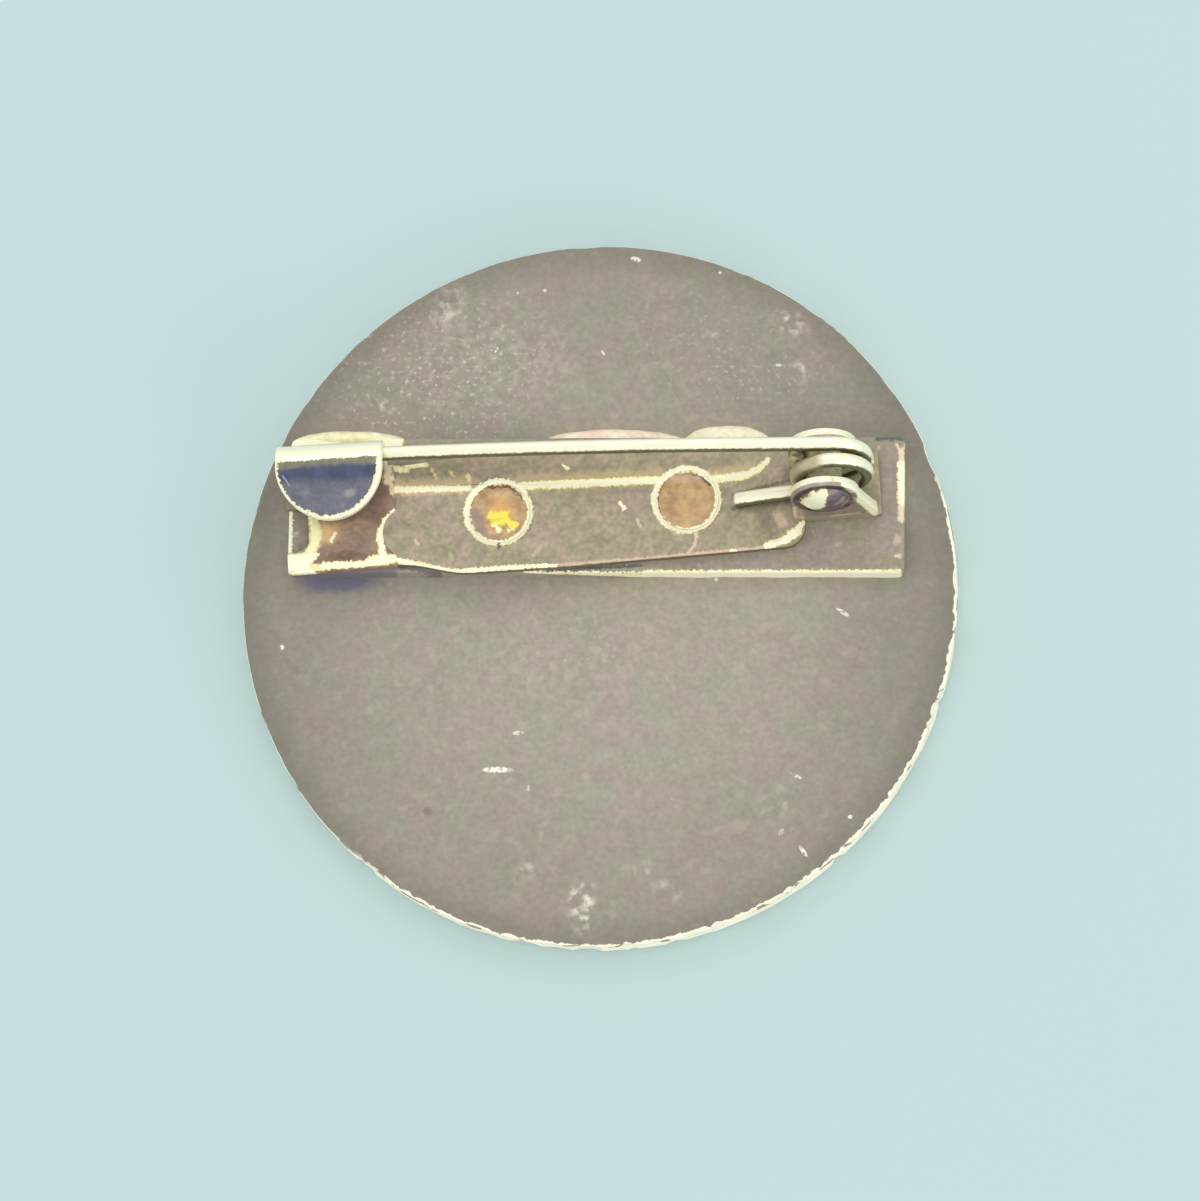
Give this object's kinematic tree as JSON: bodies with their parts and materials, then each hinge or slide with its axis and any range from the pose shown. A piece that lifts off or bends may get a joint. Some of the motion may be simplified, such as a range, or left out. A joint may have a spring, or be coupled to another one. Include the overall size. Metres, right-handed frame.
{
  "type": "round pin back brooch",
  "caption": "Round flat brooch lying on its front, with an adhesive pad and a riveted bar pin on its back: a sprung pin that tucks under a curled catch.",
  "frame": {"origin": "middle of the round front face, on which the brooch lies", "axes": "+X along the pad towards the hinge, +Y up the back, +Z out of the back"},
  "size_m": [0.03, 0.03, 0.0066],
  "materials": {
    "disc": "matt warm grey paint with chalky mottling, pale where it is worn off the rim",
    "pad": "clear adhesive pad with bright cut edges",
    "bar": "thin pale brass plate, polished and a little tarnished",
    "wire": "polished plated spring wire",
    "rivet": "polished, with dark tarnish round the head",
    "glue": "set amber glue",
    "bead": "squeezed out pale glue"
  },
  "bodies": {
    "base": {"disc": "disc", "adhesive_pad": "pad", "pin_bar": "bar", "rivet": "rivet", "spring_tail": "wire", "glue_plugs": "glue", "glue_bead": "bead"},
    "coil": {"pin_coil": "wire"},
    "arm": {"pin_arm": "wire", "pin_point": "wire"}
  },
  "joints": [
    {"name": "pin_swing", "type": "hinge", "parent": "base", "child": "coil", "pos_m": [0.00983, 0.00447, 0.00489], "axis": [-0.067, 0.9825, -0.1736], "range_deg": [0, 70], "deforming": ["pin_point"]},
    {"name": "pin_release", "type": "hinge", "parent": "coil", "child": "arm", "pos_m": [0.00978, 0.00518, 0.00622], "axis": [0, 0, 1], "range_deg": [0, 12], "stiffness_Nm_per_rad": 0.02}
  ]
}
